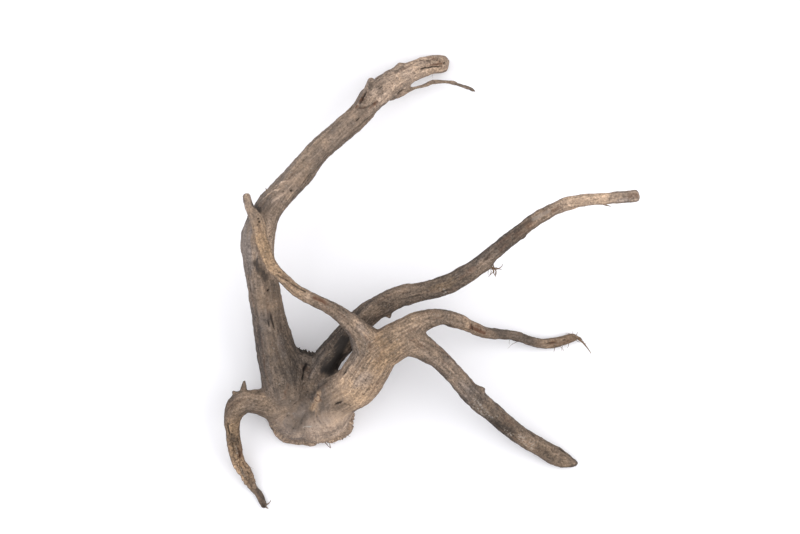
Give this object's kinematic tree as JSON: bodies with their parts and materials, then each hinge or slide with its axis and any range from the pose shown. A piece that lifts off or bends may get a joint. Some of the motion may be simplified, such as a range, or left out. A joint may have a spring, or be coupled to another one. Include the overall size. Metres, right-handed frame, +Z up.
{
  "type": "piece of driftwood",
  "caption": "Branching weathered root wood: a flared crown with long, curved, tapering limbs that arch out and touch down at their tips.",
  "frame": {"origin": "middle of the crown's flat base, on the surface the wood stands on", "axes": "+Z up, +Y from the crown towards the long limb's tip, +X towards the free end of the under limb"},
  "size_m": [0.4014, 0.4511, 0.1027],
  "materials": {
    "weathered_wood": "bare, dry and weathered, with open grain, cracks, pits and remains of bark"
  },
  "bodies": {
    "root": {"driftwood": "weathered_wood"}
  },
  "joints": []
}
